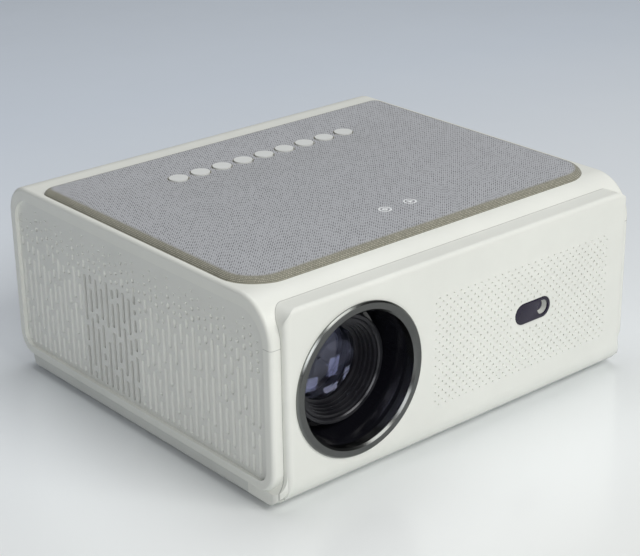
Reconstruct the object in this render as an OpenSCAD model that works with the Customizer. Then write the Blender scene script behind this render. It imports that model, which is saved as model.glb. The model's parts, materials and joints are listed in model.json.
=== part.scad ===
// Compact video projector with a disc drive whose tray slides out of the right side.
// Origin: on the table, under the middle of the outline. +Z up, the lens looks to -Y,
// the slotted grille faces -X and the disc tray opens to +X. Millimetres.

/* [Case] */
// Width of the case over the two side frames
body_w = 236; // [230:1:250]
// Depth of the case without the front cover
body_d = 213.9; // [212:0.1:230]
// Height of the top face over the table
body_top = 104; // [103.5:0.5:112]
// Gap between the underside and the table, filled by the feet
foot_gap = 2.2; // [1.5:0.1:3]
// Wall thickness of the mouldings
wall = 2.4; // [2:0.1:3]
// Outer radius of the upper bend at the front, seen from the side
top_bend_r = 21; // [18:0.5:22]
// Outer radius of the upper bend at the back
back_bend_r = 16.5; // [14:0.5:20]
// Outer radius of the lower bends of the side frames
low_bend_r = 12; // [9:0.5:14]
// Rounding between the side faces and the bends
edge_r = 2; // [0.8:0.1:2.2]
// Height of the underside of the side frames
frame_low = 9; // [8.4:0.1:11]
// Distance from the top face down to the seam at the front
seam_drop_front = 22.3; // [21.1:0.1:24]
// Distance from the top face down to the seam at the back
seam_drop_back = 30.5; // [26:0.1:32]

/* [Side frames] */
// Width of the frame beside its panel, front and back
rim_side = 5.2; // [4.5:0.1:7]
// Width of the frame above its panel
rim_top = 6.9; // [5.5:0.1:7.2]
// Width of the frame below its panel
rim_bottom = 5.3; // [4.5:0.1:6]
// How far the panels sit behind the frame face
panel_recess = 2; // [1.4:0.1:2.4]
// Thickness of the side panels
panel_t = 2.2; // [1.8:0.1:2.6]

/* [Grille] */
// Distance between neighbouring columns
grille_pitch = 4.74; // [4.4:0.01:4.76]
// Width of a slot
slot_w = 2.2; // [1.6:0.1:2.6]
// Web left between two slots of one column
slot_web = 2.8; // [2:0.1:3.4]
// Depth of the blind slots
slot_depth = 1.1; // [0.6:0.1:1.4]
// Distance between the dots above the slots
grille_dot_pitch = 4.6; // [4:0.1:4.8]
// First column of the open slots, counted from the back
open_first = 12; // [8:1:16]
// Number of open columns, in front of the intake fan
open_columns = 10; // [6:1:12]

/* [Front cover] */
// How far the cover stands in front of the case
cover_proud = 3.6; // [2.8:0.1:4.4]
// Distance from the side face to the cover
cover_inset = 5.8; // [5:0.1:7]
// Distance from the top face down to the cover's upper edge
cover_drop = 4.4; // [3.5:0.1:7]
// Outer radius of the cover's lower bend
cover_bend_r = 13.6; // [11:0.1:16]
// Rounding of the cover's front edges
cover_edge_r = 2.4; // [1:0.1:2.6]
// Radius of the cover's upper corners
cover_corner_r = 7; // [4:0.5:10]
// How far the cover reaches back under the case
cover_wrap = 24.4; // [22:0.1:27]
// How far the lower lip sits inside the side faces
lip_inset = 1.5; // [1.2:0.1:2.5]
// Rounding of the lower lip
lip_r = 2.3; // [1:0.1:3]

/* [Dot field] */
// Half the distance between two dots of one row
dot_step = 2.3; // [2.1:0.05:2.4]
// Radius of a dot
dot_r = 0.65; // [0.4:0.05:0.8]
// Radius of the outermost dots
dot_edge_r = 0.4; // [0.3:0.05:0.8]
// Depth of a dot
dot_depth = 0.6; // [0.3:0.1:1]
// Distance from the lens axis to the first dot column
dot_in = 47.5; // [44:0.1:52]
// Distance from the right side face to the last dot column, at least
dot_right = 20.3; // [18:0.1:30]
// Height of the upper dot row over the lens axis
dot_rise = 25.5; // [22:0.1:29]
// Number of dot rows
dot_rows = 25; // [17:2:27]

/* [Receiver window] */
// Distance from the right side face to the window's middle
window_in = 73.9; // [68:0.1:82]
// Width of the window
window_w = 24.6; // [20:0.1:28]
// Height of the window
window_h = 10.9; // [9:0.1:13]

/* [Lens] */
// Distance from the left side face to the lens axis
lens_in = 48.4; // [47:0.1:50]
// Distance of the lens axis below the middle of the side frames
lens_drop = 2.3; // [1.8:0.1:3]
// Outer radius of the bezel ring
bezel_r = 37.7; // [36.5:0.1:39]
// How far the bezel stands in front of the cover
bezel_proud = 1.5; // [1:0.1:2.5]
// Radius of the lens opening
opening_r = 33; // [31.5:0.1:34]
// Radius of the sliding lens barrel
barrel_r = 24.3; // [23:0.1:25]
// Wall of the focus ring around the barrel
ring_wall = 2.7; // [2.3:0.1:3]
// How far the focus ring sits behind the cover's face
barrel_depth = 14; // [11:0.5:18]
// Travel of the barrel each way
focus_travel = 3; // [1:0.5:4]

/* [Top pad and keys] */
// Distance from the left side face to the pad
pad_inset = 2.4; // [2.4:0.1:6]
// Distance from the right side face to the pad
pad_inset_right = 5; // [2.4:0.1:7]
// Distance from the front of the case to the pad
pad_front = 17.5; // [14:0.5:24]
// Distance from the back of the case to the pad
pad_back = 27; // [20:0.5:30]
// Radius of the pad's front corners
pad_front_r = 20; // [12:0.5:24]
// Radius of the pad's back corners
pad_back_r = 7; // [4:0.5:12]
// Height of the pad over the top face
pad_rise = 2.8; // [2:0.1:4]
// Radius of the keys
key_r = 4.95; // [4:0.05:5.6]
// Number of keys
key_count = 9; // [5:2:9]
// Distance between neighbouring keys
key_pitch = 13.9; // [12.6:0.1:14.4]
// Distance from the back of the case to the key row
key_back = 63.9; // [60:0.1:68]
// Height of the keys over the pad
key_proud = 0.5; // [0.2:0.1:1]
// Travel of a key
key_travel = 0.8; // [0.4:0.1:1]
// Play around a key
key_play = 0.3; // [0.2:0.05:0.5]

/* [Disc drive] */
// Radius of the discs
disc_r = 60; // [40:5:60]
// Play around the disc in its well
disc_play = 0.5; // [0.3:0.1:0.8]
// Radius of the hub that enters the disc
hub_r = 7.4; // [7:0.05:7.45]
// Width of the drive, front to back
drive_w = 128; // [126:0.5:130]
// Length of the drive, from its mouth inwards
drive_l = 126; // [125:0.5:128]
// Height of the drive
drive_h = 13; // [13:0.1:13.6]
// Distance from the top face down to the drive's underside
drive_drop = 24; // [23.6:0.1:24.2]
// Distance from the drive's middle to the back of the case
drive_back = 99.5; // [98:0.5:102]
// Play between the tray and the drive case
tray_play = 0.6; // [0.4:0.1:0.8]
// Travel of the tray
tray_travel = 118; // [90:1:120]
// Travel of the pickup sled
sled_travel = 31; // [20:1:31]

/* [Fans] */
// Side length of the square fans
fan_size = 60; // [50:1:60]
// Thickness of the fans
fan_t = 15; // [10:1:15]
// Number of fan blades
fan_blades = 7; // [5:1:11]

/* [Sockets and feet] */
// Radius of the rubber feet
foot_r = 8; // [6:0.5:10]
// Bore radius of the tripod thread
tripod_r = 3.2; // [3:0.05:3.3]
// Depth of the tripod thread
tripod_l = 9; // [7:0.5:10]
// Bore radius of the sound jacks
jack_r = 1.8; // [1.75:0.05:2]

/* [Hidden] */
$fn = 64;
half_w = body_w / 2;
seam_front = body_top - seam_drop_front;
seam_back = body_top - seam_drop_back;
cover_top = body_top - cover_drop;
lens_x = lens_in - half_w;
window_x = half_w - window_in;
lens_z = (frame_low + body_top) / 2 - lens_drop;
drive_low = body_top - drive_drop;
y_front = -(body_d + cover_proud + bezel_proud) / 2 + cover_proud + bezel_proud;
y_back = y_front + body_d;
y_cover = y_front - cover_proud;
z_base = foot_gap;
z_floor = z_base + wall;
z_roof = body_top - wall;
bend_z = body_top - top_bend_r;
low_z = frame_low + low_bend_r;
frame_flange = 7.5;
cover_half = half_w - cover_inset;
lip_half = half_w - lip_inset;
seat = 4;
panel_x = half_w - panel_recess;
panel_back_x = panel_x - panel_t;
open_y0 = y_front + rim_side;
open_y1 = y_back - rim_side;
open_z0 = frame_low + rim_bottom;
open_z1 = body_top - rim_top;
run_gap = 0.05;
element_play = 0.1;
open_front_r = top_bend_r - rim_side;
open_back_r = back_bend_r - rim_side + 1;
back_z = body_top - back_bend_r;
grille_y = open_y1 - 2.9;
grille_low = open_z0 + 1.8;
grille_columns = floor((open_y1 - open_y0 - 5.8) / grille_pitch) + 1;
grille_scale = (open_z1 - open_z0) / 82.8;
slot_r = slot_w / 2;
open_window = [1.9, 57];
pad_y0 = y_front + pad_front;
pad_y1 = y_back - pad_back;
pad_x0 = pad_inset - half_w;
pad_x1 = half_w - pad_inset_right;
rim = 1.6;
pad_sink = 0.8;
pad_top = body_top + pad_rise;
plate_top = body_top + pad_rise - 1.8;
key_y = y_back - key_back;
key_flange_t = 1.2;
key_flange_r = key_r + 0.9;
key_low = z_roof - key_flange_t - 1.2;
switch_top = key_low - key_travel;
board_t = 1.2;
key_board_top = switch_top - 1.5;
drive_x1 = half_w - 6;
drive_x0 = drive_x1 - drive_l;
drive_y = y_back - drive_back;
drive_y0 = drive_y - drive_w / 2;
drive_y1 = drive_y + drive_w / 2;
drive_high = drive_low + drive_h;
sheet = 1;
tray_low = drive_low + sheet + 0.6;
tray_high = drive_high - sheet - 1;
well_z = tray_high - 4.8;
tray_y0 = drive_y0 + sheet + tray_play;
tray_y1 = drive_y1 - sheet - tray_play;
tray_x0 = drive_x0 + 1.5;
well_r = disc_r + disc_play;
disc_x = drive_x1 - 62.5;
sled_z = tray_low + 1.9;
sled_x = disc_x - 26;
sled_y = drive_y;
rod_r = 0.75;
rod_off = 12;
screw_y = sled_y + 17.5;
bay_x0 = sled_x - sled_travel - 0.5;
bay_x1 = disc_x - 14.2;
ring_front = y_cover + barrel_depth;
ring_back = ring_front + 13;
barrel_front = ring_front + 1.6;
holder_back = ring_back + 30;
nose_r = barrel_r + run_gap + 1.4;
ring_r = barrel_r + ring_wall;
engine_t = 2;
engine_y0 = holder_back;
engine_y1 = engine_y0 + 94;
engine_x0 = lens_x - 26.4;
engine_x1 = lens_x + 53.6;
engine_step_x = lens_x + 27;
engine_z0 = lens_z - 32.2;
engine_z1 = body_top - 16;
engine_step_z = drive_low - 2;
beam_y = engine_y0 + 48;
tunnel_half = drive_low - 2.3 - engine_t - lens_z;
lamp_half = tunnel_half + 1.9;
mirror_h = engine_z1 - engine_z0 - engine_t - 6;
exhaust_x = half_w - 48;
tunnel_x1 = exhaust_x - 36;
condenser_x = tunnel_x1 - 26;
condenser_r = tunnel_half;
mirror_t = 2;
fan_y = grille_y - (open_first + (open_columns - 1) / 2) * grille_pitch;
intake_z = frame_low + wall + 4.6 + fan_size / 2;
exhaust_z = drive_low - 4 - fan_size / 2;
fan_bore = fan_size / 2 - 1.5;
exhaust_y = beam_y;
board_z = 12;
board_y1 = y_back - 9.5;
board_y0 = board_y1 - 50;
board_end = half_w - 22;
main_x0 = board_end - 102;
power_x1 = main_x0 - 6;
jack_x = [board_end - 100, board_end - 91];
display_x = [board_end - 76, board_end - 54];
data_x = [board_end - 34, board_end - 16];
inlet_x = 14 - board_end;
board_posts_x = [4 - board_end, power_x1 - 6, main_x0 + 6, board_end - 4];
ledge = 20;
rear_y = y_back - wall;
rear_t = 2.2;
port_y = rear_y;
window_z = lens_z;
dot_left = lens_x + dot_in;
dot_top = lens_z + dot_rise;
dot_columns = floor((half_w - dot_right - dot_left) / dot_step) + 1;
base_back = y_back - low_bend_r + 2;
base_front = y_cover + cover_wrap;
foot_x = half_w - 30;
foot_y0 = base_front + 13;
foot_y1 = base_back - 16;
speaker_r = 17;
speaker_x = [(lens_x + bezel_r + window_x - window_w / 2) / 2, half_w - 34];
speaker_z = 38;

// One row per column, from the back to the front: the height of its top dot,
// then the heights of the webs between its slots, all over the lowest slot end.
grille_rows = [
    [72, 53, 48, 26, 9],
    [70, 50, 43, 23],
    [69, 50, 15],
    [76, 57.5, 38.5, 9.5],
    [72, 56, 50, 27.5],
    [74, 53.5, 48.5, 38.5, 23.5, 9.5],
    [70.5, 50.5, 43, 28.5],
    [74, 57.5, 43, 14],
    [72, 56, 48.5, 21.5, 9.5],
    [66, 49.5, 33.5],
    [75.5, 58.5, 38.5, 18],
    [69, 50.5, 33, 5],
    [75.5, 57, 29.5, 18],
    [69, 50.5, 35, 5.5],
    [73.5, 57, 38.5, 30.5],
    [72, 53.5, 34, 18.5, 12],
    [75.5, 58.5, 31.5, 26.5],
    [72.5, 56, 48.5, 33, 10],
    [69, 50.5, 29.5, 15.5],
    [76, 57.5, 38.5, 10],
    [72.5, 56, 34, 23],
    [74.5, 51.5, 46, 36.5, 26.5, 10],
    [65.5, 48.5, 38.5, 26.5, 4],
    [71, 50.5, 34, 21],
    [74.5, 57.5, 38.5, 24],
    [72.5, 56, 48.5, 36.5, 22, 10],
    [66, 49.5, 29],
    [75.5, 58.5, 38.5, 18.5],
    [69, 50.5, 31.5, 5.5],
    [73.5, 57, 44, 10],
    [72, 53.5, 20.5, 12],
    [75.5, 58.5, 34],
    [72.5, 56, 48.5, 35, 10],
    [69, 50.5, 15.5],
    [76.5, 57.5, 38.5, 10],
    [72.5, 56, 27.5],
    [74.5, 54, 48.5, 38.5, 26.5, 10],
    [65.5, 54, 42, 32, 4.5],
    [71, 50.5, 24],
    [74.5, 57.5, 38.5, 28],
    [72.5, 56, 48.5, 22, 10],
    [66, 49.5, 22]
];

// ---- helpers ----

module ext_x(x0, x1) {
    translate([x0, 0, 0]) rotate([90, 0, 90]) linear_extrude(x1 - x0) children();
}

module ext_y(y0, y1) {
    translate([0, y1, 0]) rotate([90, 0, 0]) linear_extrude(y1 - y0) children();
}

module ext_z(z0, z1) {
    translate([0, 0, z0]) linear_extrude(z1 - z0) children();
}

module cyl_x(x0, x1, r) {
    translate([x0, 0, 0]) rotate([0, 90, 0]) cylinder(h = x1 - x0, r = r);
}

module cyl_y(y0, y1, r) {
    translate([0, y1, 0]) rotate([90, 0, 0]) cylinder(h = y1 - y0, r = r);
}

module cyl_z(z0, z1, r) {
    translate([0, 0, z0]) cylinder(h = z1 - z0, r = r);
}

module block(x0, x1, y0, y1, z0, z1) {
    translate([x0, y0, z0]) cube([x1 - x0, y1 - y0, z1 - z0]);
}

// What a rounding takes off a corner whose material lies to the upper right.
module corner_cut(r) {
    difference() {
        translate([-1, -1]) square(r + 1);
        translate([r, r]) circle(r);
    }
}

// Rectangle with its own radius at each corner, from the lower left anticlockwise.
module outline(u0, u1, v0, v1, r1, r2, r3, r4) {
    difference() {
        translate([u0, v0]) square([u1 - u0, v1 - v0]);
        if (r1 > 0) translate([u0, v0]) corner_cut(r1);
        if (r2 > 0) translate([u1, v0]) rotate(90) corner_cut(r2);
        if (r3 > 0) translate([u1, v1]) rotate(180) corner_cut(r3);
        if (r4 > 0) translate([u0, v1]) rotate(270) corner_cut(r4);
    }
}

// Side outline of the case, drawn in by a margin.
module case_outline(inset) {
    outline(y_front + inset, y_back - inset, frame_low + inset, body_top - inset,
        low_bend_r - inset, low_bend_r - inset, back_bend_r - inset, top_bend_r - inset);
}

// Cross-section of a shell wall with a flange at each side face; the radius runs along +x.
module wall_section(r) {
    difference() {
        translate([r - frame_flange, -half_w]) square([frame_flange, body_w]);
        translate([r - frame_flange - 1, panel_recess - half_w])
            square([frame_flange + 1 - wall, body_w - 2 * panel_recess]);
        translate([r, -half_w]) rotate(90) corner_cut(edge_r);
        translate([r, half_w]) rotate(180) corner_cut(edge_r);
    }
}

// Bends and straight runs of a wall section around the X direction.
module bend(y, z, a0, a1) {
    translate([0, y, z]) rotate([90, 0, 90]) rotate([0, 0, a0])
        rotate_extrude(angle = a1 - a0) children();
}

module run(y, z, a, length) {
    translate([0, y, z]) rotate([90, 0, 90]) rotate([0, 0, a]) rotate([90, 0, 0])
        linear_extrude(length) children();
}

// Opening of the side frames, through both sides.
module side_openings() {
    low_r = low_bend_r - rim_side;
    ext_x(-half_w - 1, half_w + 1)
        outline(open_y0, open_y1, open_z0, open_z1, low_r, low_r, open_back_r, open_front_r);
}

// Slot with round ends, upright, at a column.
module upright_slot(u, v0, v1) {
    translate([u - slot_r, v0 + slot_r]) square([slot_w, v1 - v0 - slot_w]);
    translate([u, v0 + slot_r]) circle(slot_r, $fn = 24);
    translate([u, v1 - slot_r]) circle(slot_r, $fn = 24);
}

// ---- case ----

module top_shell() {
    color([0.9, 0.91, 0.89]) difference() {
        union() {
            run(y_front + top_bend_r, seam_front, 180, bend_z - seam_front)
                wall_section(top_bend_r);
            bend(y_front + top_bend_r, bend_z, 90, 180) wall_section(top_bend_r);
            run(y_front + top_bend_r, bend_z, 90, body_d - top_bend_r - back_bend_r)
                wall_section(top_bend_r);
            bend(y_back - back_bend_r, back_z, 0, 90) wall_section(back_bend_r);
            run(y_back - back_bend_r, back_z, 0, back_z - seam_back) wall_section(back_bend_r);
            for (x = [drive_x0 + 12, drive_x1 - 12], y = [drive_y0 + 10, drive_y1 - 10])
                translate([x, y, 0]) cyl_z(drive_high, z_roof + 0.5, 3.5);
            for (x = [-1, 1])
                translate([x * (key_pitch * (key_count - 1) / 2 + 9), key_y, 0])
                    cyl_z(key_board_top, z_roof + 0.5, 2.5);
        }
        side_openings();
        block(seat - cover_half, cover_half - seat, y_front - 1, y_front + top_bend_r,
            seam_front - 1, cover_top - seat);
        ext_z(body_top - pad_sink, body_top + 1)
            outline(pad_x0, pad_x1, pad_y0, pad_y1,
                pad_front_r, pad_front_r, pad_back_r, pad_back_r);
        key_row() cyl_z(z_roof - 1, body_top + 1, key_r + key_play);
    }
}

module lower_shell() {
    color([0.9, 0.91, 0.89]) difference() {
        union() {
            run(y_front + low_bend_r, low_z, 180, seam_front - low_z) wall_section(low_bend_r);
            bend(y_front + low_bend_r, low_z, 180, 270) wall_section(low_bend_r);
            run(y_back - low_bend_r, low_z, 270, body_d - 2 * low_bend_r)
                wall_section(low_bend_r);
            bend(y_back - low_bend_r, low_z, 270, 360) wall_section(low_bend_r);
            run(y_back - low_bend_r, seam_back, 0, seam_back - low_z) wall_section(low_bend_r);
            block(0.5 - panel_back_x, fan_t - panel_back_x, fan_y - 20, fan_y + 20,
                frame_low + wall - 0.5, intake_z - fan_size / 2);
        }
        side_openings();
        block(seat - cover_half, cover_half - seat, y_front - 1, y_front + low_bend_r + 0.1,
            frame_low - 1, seam_front + 1);
        block(ledge - half_w, half_w - ledge, y_front + low_bend_r, y_back - low_bend_r,
            frame_low - 1, frame_low + wall + 1);
        ext_y(y_back - wall - 1, y_back + 1)
            outline(-board_end + 1, board_end - 1, 26, seam_back - 3.5, 4, 4, 4, 4);
        screw_places() cyl_z(frame_low - 1, frame_low + wall + 1, 1.5);
    }
}

// Space under the frames: lip outline across, cover or base outline along.
module lip_section() {
    outline(-lip_half, lip_half, z_base, frame_low, lip_r, lip_r, 0, 0);
}

module base_plate() {
    color([0.82, 0.83, 0.82]) difference() {
        union() {
            difference() {
                intersection() {
                    ext_y(base_front, base_back) lip_section();
                    ext_x(-half_w, half_w)
                        outline(base_front, base_back, z_base, frame_low, 0, 6, 0, 0);
                }
                block(wall - lip_half, lip_half - wall, base_front + wall, base_back - wall,
                    z_floor, frame_low + 1);
            }
            cyl_z(z_floor - 0.5, z_base + tripod_l + 3, 9);
            for (x = board_posts_x, y = [board_y0 + 5, board_y1 - 6])
                translate([x, y, 0]) cyl_z(z_floor - 0.5, board_z, 3);
            block(exhaust_x, exhaust_x + fan_t, exhaust_y - 20, exhaust_y + 20,
                z_floor - 0.5, exhaust_z - fan_size / 2);
            for (x = [engine_x0 + 8, engine_x1 - 8], y = [engine_y0 + 8, engine_y1 - 30])
                translate([x, y, 0]) cyl_z(z_floor - 0.5, engine_z0, 4);
            screw_places() cyl_z(z_floor - 0.5, frame_low, 4);
        }
        cyl_z(z_base - 1, z_base + tripod_l + 1, 6);
        foot_places() cyl_z(z_base - 1, z_base + 1, foot_r);
        screw_places() {
            cyl_z(z_base - 1, z_base + 1.4, 3.2);
            cyl_z(z_base - 1, frame_low + 1, 1.6);
        }
        for (i = [0:11])
            ext_z(z_base - 1, z_floor + 1)
                translate([i * 5 - 27.5, 0]) upright_slot(0, -56, -32);
    }
}

module foot_places() {
    for (x = [-foot_x, foot_x], y = [foot_y0, foot_y1]) translate([x, y, 0]) children();
}

module screw_places() {
    for (x = [-foot_x - 14, foot_x + 14], y = [foot_y0, foot_y1])
        translate([x, y, 0]) children();
}

module cover_side_outline(r) {
    outline(y_cover, base_front, z_base, cover_top, cover_bend_r, 0, 0, r);
}

module front_cover() {
    flare_r = 12;
    flare_z = low_z - 2;
    flare_w = cover_inset - lip_inset;
    color([0.93, 0.94, 0.92]) difference() {
        union() {
            intersection() {
                ext_y(y_cover, base_front)
                    outline(-cover_half, cover_half, z_base, cover_top,
                        0, 0, cover_corner_r, cover_corner_r);
                ext_x(-cover_half, cover_half) cover_side_outline(cover_edge_r);
                ext_z(z_base, cover_top) outline(-cover_half, cover_half, y_cover, base_front,
                    cover_edge_r, cover_edge_r, 0, 0);
            }
            intersection() {
                ext_y(y_cover + 0.8, base_front) difference() {
                    outline(-lip_half, lip_half, z_base, flare_z, lip_r, lip_r, 0, 0);
                    for (s = [-1, 1])
                        translate([s * (cover_half + flare_r - 0.1), flare_z]) circle(flare_r);
                }
                ext_x(-lip_half, lip_half)
                    translate([0.8, 0]) cover_side_outline(0);
                ext_z(z_base, flare_z)
                    outline(-lip_half - 0.1, lip_half + 0.1, y_cover + 0.8, base_front, 7, 7, 0, 0);
            }
        }
        ext_x(-half_w, half_w) case_outline(0);
        block(wall - cover_half, cover_half - wall, y_cover + wall, base_front + 1,
            z_base + cover_bend_r, cover_top - wall);
        intersection() {
            block(wall - cover_half, cover_half - wall, y_cover, base_front + 1, 0, 60);
            ext_x(-cover_half, cover_half)
                outline(y_cover + wall, base_front + 1, z_floor, 60, cover_bend_r - wall, 0, 0, 0);
        }
        translate([lens_x, 0, lens_z]) cyl_y(y_cover - 1, y_cover + wall + 1, opening_r + 1.6);
        ext_y(y_cover - 1, y_cover + wall + 1)
            translate([window_x, window_z]) window_outline(0.15);
        for (i = [0:dot_columns - 1], j = [0:dot_rows - 1])
            if ((i + j) % 2 == 1 && !near_window(dot_left + i * dot_step, dot_top - j * dot_step))
                translate([dot_left + i * dot_step, 0, dot_top - j * dot_step])
                    rotate([90, 0, 0])
                        translate([0, 0, -y_cover - dot_depth])
                            cylinder(h = dot_depth + 1, r = dot_size(i, j), $fn = 16);
    }
}

function near_window(x, z) =
    abs(x - window_x) < window_w / 2 + 1.4 && abs(z - window_z) < window_h / 2 + 1.4;

// Dots shrink towards the edges of their field.
function dot_size(i, j) =
    min(dot_r, dot_edge_r + 0.08 * min(i, dot_columns - 1 - i, j, dot_rows - 1 - j));

module window_outline(grow) {
    w = window_w + 2 * grow;
    h = window_h + 2 * grow;
    outline(-w / 2, w / 2, -h / 2, h / 2, h / 2 - 0.01, h / 2 - 0.01, h / 2 - 0.01, h / 2 - 0.01);
}

// Outline of a side panel behind its frame.
module panel_outline() {
    outline(open_y0 - 2, open_y1 + 2, open_z0 - 1.6, open_z1 + 3,
        low_bend_r - rim_side, low_bend_r - rim_side, open_back_r + 1, open_front_r + 1);
}

// Heights of one column, for an opening 82.8 high where the scale is 1.
function grille_row(c) = grille_rows[c % len(grille_rows)] * grille_scale;

// All slots of one column between its dots and the lowest slot end.
module column_slots(row, u, low, high) {
    tops = [for (k = [1:len(row)]) k == 1 ? min(row[0] - 2.7 * grille_dot_pitch, high)
        : row[k - 1] - slot_web / 2];
    ends = [for (k = [1:len(row)]) k == len(row) ? 0 : row[k] + slot_web / 2];
    for (k = [0:len(row) - 1])
        if (min(tops[k], high) - max(ends[k], low) > slot_w + 0.1)
            upright_slot(u, grille_low + max(ends[k], low), grille_low + min(tops[k], high));
}

module left_grille() {
    color([0.84, 0.85, 0.84]) difference() {
        ext_x(-panel_x, -panel_back_x) panel_outline();
        ext_x(-panel_x - 1, slot_depth - panel_x) {
            for (c = [0:grille_columns - 1]) {
                u = grille_y - c * grille_pitch;
                row = grille_row(c);
                column_slots(row, u, 0, 100);
                for (k = [0:2])
                    translate([u, grille_low + row[0] - k * grille_dot_pitch])
                        circle(0.6 + 0.25 * k, $fn = 20);
            }
        }
        ext_x(-panel_x - 1, 1 - panel_back_x)
            for (c = [open_first:open_first + open_columns - 1])
                column_slots(grille_row(c), grille_y - c * grille_pitch, 0, open_window[1]);
    }
}

module right_panel() {
    color([0.84, 0.85, 0.84]) difference() {
        ext_x(panel_back_x, panel_x) panel_outline();
        block(panel_back_x - 1, panel_x + 1, drive_y0, drive_y1, drive_low, drive_high);
        ext_x(panel_back_x - 1, panel_x + 1)
            for (c = [-5:5], k = [0:1])
                upright_slot(exhaust_y + c * grille_pitch,
                    exhaust_z - 24 + k * 26, exhaust_z - 2 + k * 26);
    }
}

module rear_panel() {
    color([0.16, 0.16, 0.17]) difference() {
        ext_y(rear_y - rear_t, rear_y)
            outline(-board_end - 3, board_end + 3, 22, seam_back - 0.5, 3, 3, 3, 3);
        ext_y(rear_y - rear_t - 1, rear_y + 1) {
            translate([inlet_x, 0]) outline(-8.6, 8.6, 28, 37, 3, 3, 3, 3);
            for (x = display_x) translate([x, 0]) outline(-7.8, 7.8, 26.6, 32.6, 1, 1, 1, 1);
            for (x = data_x) translate([x, 0]) outline(-6.8, 6.8, 26.4, 34, 0.5, 0.5, 0.5, 0.5);
            for (c = [-7:7]) translate([c * 5 - 34, 0]) upright_slot(0, 44, seam_back - 9.5);
        }
        for (x = jack_x) translate([x, 0, 31]) cyl_y(rear_y - rear_t - 1, rear_y + 1, 3.4);
    }
}

// ---- pad and keys ----

module key_row() {
    for (i = [0:key_count - 1])
        translate([(i - (key_count - 1) / 2) * key_pitch, key_y, 0]) children();
}

module pad_plate() {
    color([0.3, 0.3, 0.31]) difference() {
        ext_z(body_top - pad_sink, plate_top)
            outline(pad_x0 + rim, pad_x1 - rim, pad_y0 + rim, pad_y1 - rim,
                pad_front_r - rim, pad_front_r - rim, pad_back_r - rim, pad_back_r - rim);
        key_row() cyl_z(body_top - 2, pad_top + 1, key_r + key_play);
    }
}

module fabric_pad() {
    color([0.6, 0.6, 0.61]) difference() {
        ext_z(body_top - pad_sink, pad_top)
            outline(pad_x0, pad_x1, pad_y0, pad_y1,
                pad_front_r, pad_front_r, pad_back_r, pad_back_r);
        ext_z(body_top - pad_sink - 1, plate_top)
            outline(pad_x0 + rim, pad_x1 - rim, pad_y0 + rim, pad_y1 - rim,
                pad_front_r - rim, pad_front_r - rim, pad_back_r - rim, pad_back_r - rim);
        key_row() cyl_z(body_top - 2, pad_top + 1, key_r + key_play);
    }
}

module key(i) {
    color([0.88, 0.88, 0.87])
        translate([(i - (key_count + 1) / 2) * key_pitch, key_y, 0]) {
            cyl_z(key_low, pad_top + key_proud, key_r);
            cyl_z(z_roof - key_flange_t, z_roof, key_flange_r);
        }
}

module key_board() {
    half = key_pitch * (key_count - 1) / 2;
    color([0.08, 0.3, 0.16]) {
        block(-half - 13, half + 13, key_y - 7, key_y + 7, key_board_top - board_t, key_board_top);
        key_row() block(-2.6, 2.6, -2.6, 2.6, key_board_top - 0.1, switch_top - 0.6);
        key_row() cyl_z(switch_top - 0.7, switch_top, 1.6);
    }
}

// ---- lens ----

module at_lens() {
    translate([lens_x, 0, lens_z]) rotate([90, 0, 0]) children();
}

// Ring around the lens axis from a profile of radius and depth behind the cover's face.
module lens_turn(points) {
    at_lens() rotate_extrude($fn = 96) polygon([for (p = points) [p[0], -y_cover - p[1]]]);
}

module lens_bezel() {
    color([0.2, 0.2, 0.21]) lens_turn([
        [bezel_r, 0], [bezel_r, 0.8 - bezel_proud], [bezel_r - 0.8, -bezel_proud],
        [opening_r + 1, -bezel_proud], [opening_r, 1 - bezel_proud], [opening_r, 4],
        [opening_r + 1.4, 4], [opening_r + 1.4, 0]]);
}

module lens_shroud() {
    t = 1.4;
    deep = barrel_depth + 10;
    throat = ring_r + 0.7;
    color([0.03, 0.03, 0.04]) difference() {
        lens_turn([
            [opening_r + 4, wall], [opening_r + 4, wall + t], [opening_r + t, wall + t],
            [throat + 3 + t, deep], [throat + 3 + t, deep + t], [throat, deep + t],
            [throat, deep], [throat + 3, deep - 1.2], [opening_r - 0.4, 6], [opening_r, 4.2],
            [opening_r + 1.6, 4.2], [opening_r + 1.6, wall]]);
        block(lens_x - bezel_r, lens_x + bezel_r, y_cover, y_cover + 4, 0, z_base + cover_bend_r);
    }
}

module focus_ring() {
    depth0 = barrel_depth;
    depth1 = barrel_depth + 13;
    inner = barrel_r + run_gap;
    color([0.05, 0.05, 0.06]) difference() {
        lens_turn([
            [inner, depth0 + 0.6], [inner + 0.6, depth0], [ring_r - 0.5, depth0],
            [ring_r, depth0 + 0.5], [ring_r, depth1 - 0.3], [nose_r + run_gap, depth1 - 0.3],
            [nose_r + run_gap, depth1 - 6.5], [inner, depth1 - 6.5]]);
        for (a = [0:10:350])
            at_lens() rotate([0, 0, a]) translate([ring_r + 0.35, 0, -y_cover - depth0 - 6])
                cylinder(h = 4.5, r = 0.8, $fn = 16);
    }
}

module lens_barrel() {
    d0 = barrel_depth + 1.6;
    r = barrel_r;
    color([0.06, 0.06, 0.07]) lens_turn([
        [r, d0], [r, d0 + 36], [r - 6, d0 + 36], [r - 6, d0 + 32], [r - 3, d0 + 32],
        [r - 3, d0 + 16.4], [r - 6.6, d0 + 16.4], [r - 6.6, d0 + 15.2], [r - 4.6, d0 + 15.2],
        [r - 4.6, d0 + 9.2], [r - 6, d0 + 9.2], [r - 6, d0 + 8], [r - 4.2, d0 + 8],
        [r - 4.2, d0 + 6], [r - 3.4, d0 + 6], [r - 3.4, d0 + 4], [r - 2.4, d0 + 4],
        [r - 2.4, d0 + 2], [r - 1.4, d0 + 2], [r - 1.4, d0]]);
}

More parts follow.
